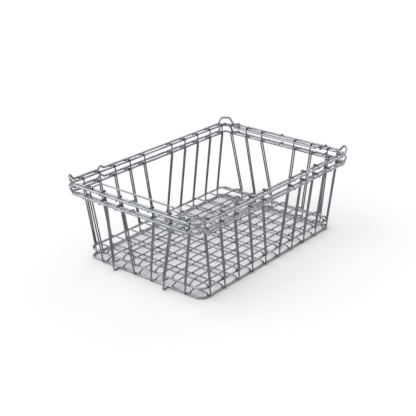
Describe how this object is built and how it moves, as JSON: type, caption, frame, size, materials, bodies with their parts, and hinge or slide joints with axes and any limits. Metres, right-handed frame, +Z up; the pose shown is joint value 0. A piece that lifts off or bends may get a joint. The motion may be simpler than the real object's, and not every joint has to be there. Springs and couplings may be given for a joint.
{
  "type": "wire mesh container",
  "caption": "Open welded wire container with leaning wall wires, nested in its twin: raised rim corners, a wire grid floor on a heavy ring, rim arches and swing bails at the ends.",
  "frame": {"origin": "on the floor, under the middle of the rim", "axes": "+X along the long sides, +Y across to the back long side, +Z up"},
  "size_m": [0.6, 0.406, 0.2162],
  "materials": {
    "rim_wire": "polished",
    "wall_wire": "polished",
    "grid_wire": "polished",
    "bail_wire": "polished"
  },
  "bodies": {
    "lower_container": {"lower_rim_outer_wire": "rim_wire", "lower_rim_inner_wire": "rim_wire", "lower_base_ring": "rim_wire", "lower_floor_cross_wires": "grid_wire", "lower_floor_long_wires": "grid_wire", "lower_front_wall_wires": "wall_wire", "lower_back_wall_wires": "wall_wire", "lower_left_wall_wires": "wall_wire", "lower_left_foot_wires": "wall_wire", "lower_right_wall_wires": "wall_wire", "lower_right_foot_wires": "wall_wire", "lower_left_rim_eyes": "grid_wire", "lower_right_rim_eyes": "grid_wire"},
    "upper_container": {"upper_rim_outer_wire": "rim_wire", "upper_rim_inner_wire": "rim_wire", "upper_base_ring": "rim_wire", "upper_floor_cross_wires": "grid_wire", "upper_floor_long_wires": "grid_wire", "upper_front_wall_wires": "wall_wire", "upper_back_wall_wires": "wall_wire", "upper_left_wall_wires": "wall_wire", "upper_left_foot_wires": "wall_wire", "upper_right_wall_wires": "wall_wire", "upper_right_foot_wires": "wall_wire", "upper_left_rim_eyes": "grid_wire", "upper_right_rim_eyes": "grid_wire"},
    "left_bail": {"left_bail": "bail_wire"},
    "right_bail": {"right_bail": "bail_wire"}
  },
  "joints": [
    {"name": "lift", "type": "slide", "parent": "lower_container", "child": "upper_container", "axis": [0, 0, 1], "range_m": [0, 0.2]},
    {"name": "left_bail_hinge", "type": "hinge", "parent": "upper_container", "child": "left_bail", "pos_m": [-0.28385, 0, 0.1978], "axis": [0, -1, 0], "range_deg": [0, 125]},
    {"name": "right_bail_hinge", "type": "hinge", "parent": "upper_container", "child": "right_bail", "pos_m": [0.28385, 0, 0.1978], "axis": [0, 1, 0], "range_deg": [0, 125]}
  ]
}
